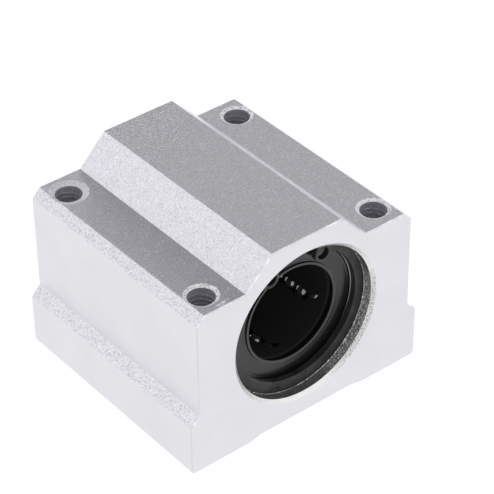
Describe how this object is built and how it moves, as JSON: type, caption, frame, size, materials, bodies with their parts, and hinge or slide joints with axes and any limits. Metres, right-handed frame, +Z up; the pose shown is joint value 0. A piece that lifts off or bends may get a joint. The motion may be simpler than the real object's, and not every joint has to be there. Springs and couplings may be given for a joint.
{
  "type": "linear ball bushing block",
  "caption": "Rectangular aluminium pillow block with a recirculating linear ball bushing held by circlips, for a round shaft, with corner bolt holes.",
  "frame": {"origin": "middle of the block's base, on the plane of its feet", "axes": "+Z up from the base to the hump, Y along the shaft, X across the block"},
  "size_m": [0.054, 0.05, 0.041],
  "materials": {
    "block_aluminium": "fine bead-blasted top and steps, smooth milled ends and sides",
    "bearing_steel": "ground hardened bearing steel",
    "retainer_resin": "moulded black resin",
    "circlip_steel": "phosphated spring steel, dark grey",
    "spring_steel": "blued spring steel",
    "seal_rubber": "smooth black nitrile rubber",
    "ball_steel": "polished chrome bearing steel"
  },
  "bodies": {
    "block": {"housing": "block_aluminium", "outer_sleeve": "bearing_steel", "ball_retainer": "retainer_resin", "front_circlip": "circlip_steel", "rear_circlip": "circlip_steel", "front_snap_ring": "spring_steel", "rear_snap_ring": "spring_steel", "front_seal": "seal_rubber", "rear_seal": "seal_rubber"},
    "circuit_1_load_balls": {"circuit_1_load_balls": "ball_steel"},
    "circuit_1_return_balls": {"circuit_1_return_balls": "ball_steel"},
    "circuit_1_front_turn_balls": {"circuit_1_front_turn_balls": "ball_steel"},
    "circuit_1_rear_turn_balls": {"circuit_1_rear_turn_balls": "ball_steel"},
    "circuit_2_load_balls": {"circuit_2_load_balls": "ball_steel"},
    "circuit_2_return_balls": {"circuit_2_return_balls": "ball_steel"},
    "circuit_2_front_turn_balls": {"circuit_2_front_turn_balls": "ball_steel"},
    "circuit_2_rear_turn_balls": {"circuit_2_rear_turn_balls": "ball_steel"},
    "circuit_3_load_balls": {"circuit_3_load_balls": "ball_steel"},
    "circuit_3_return_balls": {"circuit_3_return_balls": "ball_steel"},
    "circuit_3_front_turn_balls": {"circuit_3_front_turn_balls": "ball_steel"},
    "circuit_3_rear_turn_balls": {"circuit_3_rear_turn_balls": "ball_steel"},
    "circuit_4_load_balls": {"circuit_4_load_balls": "ball_steel"},
    "circuit_4_return_balls": {"circuit_4_return_balls": "ball_steel"},
    "circuit_4_front_turn_balls": {"circuit_4_front_turn_balls": "ball_steel"},
    "circuit_4_rear_turn_balls": {"circuit_4_rear_turn_balls": "ball_steel"},
    "circuit_5_load_balls": {"circuit_5_load_balls": "ball_steel"},
    "circuit_5_return_balls": {"circuit_5_return_balls": "ball_steel"},
    "circuit_5_front_turn_balls": {"circuit_5_front_turn_balls": "ball_steel"},
    "circuit_5_rear_turn_balls": {"circuit_5_rear_turn_balls": "ball_steel"}
  },
  "joints": [
    {"name": "circuit_1_load_slide", "type": "slide", "parent": "block", "child": "circuit_1_load_balls", "axis": [0, 1, 0], "range_m": [-0.00168, 0.00168]},
    {"name": "circuit_1_return_slide", "type": "slide", "parent": "block", "child": "circuit_1_return_balls", "axis": [0, 1, 0], "range_m": [-0.00168, 0.00168]},
    {"name": "circuit_1_front_turn", "type": "hinge", "parent": "block", "child": "circuit_1_front_turn_balls", "pos_m": [0.01172, -0.0134, 0.01859], "axis": [0.9376, 0, -0.3477], "range_deg": [-30, 30]},
    {"name": "circuit_1_rear_turn", "type": "hinge", "parent": "block", "child": "circuit_1_rear_turn_balls", "pos_m": [0.01172, 0.0134, 0.01859], "axis": [0.9376, 0, -0.3477], "range_deg": [-30, 30]},
    {"name": "circuit_2_load_slide", "type": "slide", "parent": "block", "child": "circuit_2_load_balls", "axis": [0, 1, 0], "range_m": [-0.00168, 0.00168]},
    {"name": "circuit_2_return_slide", "type": "slide", "parent": "block", "child": "circuit_2_return_balls", "axis": [0, 1, 0], "range_m": [-0.00168, 0.00168]},
    {"name": "circuit_2_front_turn", "type": "hinge", "parent": "block", "child": "circuit_2_front_turn_balls", "pos_m": [0.00591, -0.0134, 0.03141], "axis": [0.6204, 0, 0.7843], "range_deg": [-30, 30]},
    {"name": "circuit_2_rear_turn", "type": "hinge", "parent": "block", "child": "circuit_2_rear_turn_balls", "pos_m": [0.00591, 0.0134, 0.03141], "axis": [0.6204, 0, 0.7843], "range_deg": [-30, 30]},
    {"name": "circuit_3_load_slide", "type": "slide", "parent": "block", "child": "circuit_3_load_balls", "axis": [0, 1, 0], "range_m": [-0.00168, 0.00168]},
    {"name": "circuit_3_return_slide", "type": "slide", "parent": "block", "child": "circuit_3_return_balls", "axis": [0, 1, 0], "range_m": [-0.00168, 0.00168]},
    {"name": "circuit_3_front_turn", "type": "hinge", "parent": "block", "child": "circuit_3_front_turn_balls", "pos_m": [-0.00807, -0.0134, 0.02984], "axis": [-0.5542, 0, 0.8324], "range_deg": [-30, 30]},
    {"name": "circuit_3_rear_turn", "type": "hinge", "parent": "block", "child": "circuit_3_rear_turn_balls", "pos_m": [-0.00807, 0.0134, 0.02984], "axis": [-0.5542, 0, 0.8324], "range_deg": [-30, 30]},
    {"name": "circuit_4_load_slide", "type": "slide", "parent": "block", "child": "circuit_4_load_balls", "axis": [0, 1, 0], "range_m": [-0.00168, 0.00168]},
    {"name": "circuit_4_return_slide", "type": "slide", "parent": "block", "child": "circuit_4_return_balls", "axis": [0, 1, 0], "range_m": [-0.00168, 0.00168]},
    {"name": "circuit_4_front_turn", "type": "hinge", "parent": "block", "child": "circuit_4_front_turn_balls", "pos_m": [-0.0109, -0.0134, 0.01606], "axis": [-0.9629, 0, -0.2698], "range_deg": [-30, 30]},
    {"name": "circuit_4_rear_turn", "type": "hinge", "parent": "block", "child": "circuit_4_rear_turn_balls", "pos_m": [-0.0109, 0.0134, 0.01606], "axis": [-0.9629, 0, -0.2698], "range_deg": [-30, 30]},
    {"name": "circuit_5_load_slide", "type": "slide", "parent": "block", "child": "circuit_5_load_balls", "axis": [0, 1, 0], "range_m": [-0.00168, 0.00168]},
    {"name": "circuit_5_return_slide", "type": "slide", "parent": "block", "child": "circuit_5_return_balls", "axis": [0, 1, 0], "range_m": [-0.00168, 0.00168]},
    {"name": "circuit_5_front_turn", "type": "hinge", "parent": "block", "child": "circuit_5_front_turn_balls", "pos_m": [0.00133, -0.0134, 0.00911], "axis": [-0.0409, 0, -0.9992], "range_deg": [-30, 30]},
    {"name": "circuit_5_rear_turn", "type": "hinge", "parent": "block", "child": "circuit_5_rear_turn_balls", "pos_m": [0.00133, 0.0134, 0.00911], "axis": [-0.0409, 0, -0.9992], "range_deg": [-30, 30]}
  ],
  "couplings": [
    {"joint": "circuit_1_return_slide", "follows": "circuit_1_load_slide", "ratio": -1},
    {"joint": "circuit_1_front_turn", "follows": "circuit_1_load_slide", "rad_per_m": 312.6},
    {"joint": "circuit_1_rear_turn", "follows": "circuit_1_load_slide", "rad_per_m": 312.6},
    {"joint": "circuit_2_return_slide", "follows": "circuit_2_load_slide", "ratio": -1},
    {"joint": "circuit_2_front_turn", "follows": "circuit_2_load_slide", "rad_per_m": 312.6},
    {"joint": "circuit_2_rear_turn", "follows": "circuit_2_load_slide", "rad_per_m": 312.6},
    {"joint": "circuit_3_return_slide", "follows": "circuit_3_load_slide", "ratio": -1},
    {"joint": "circuit_3_front_turn", "follows": "circuit_3_load_slide", "rad_per_m": 312.6},
    {"joint": "circuit_3_rear_turn", "follows": "circuit_3_load_slide", "rad_per_m": 312.6},
    {"joint": "circuit_4_return_slide", "follows": "circuit_4_load_slide", "ratio": -1},
    {"joint": "circuit_4_front_turn", "follows": "circuit_4_load_slide", "rad_per_m": 312.6},
    {"joint": "circuit_4_rear_turn", "follows": "circuit_4_load_slide", "rad_per_m": 312.6},
    {"joint": "circuit_5_return_slide", "follows": "circuit_5_load_slide", "ratio": -1},
    {"joint": "circuit_5_front_turn", "follows": "circuit_5_load_slide", "rad_per_m": 312.6},
    {"joint": "circuit_5_rear_turn", "follows": "circuit_5_load_slide", "rad_per_m": 312.6}
  ]
}
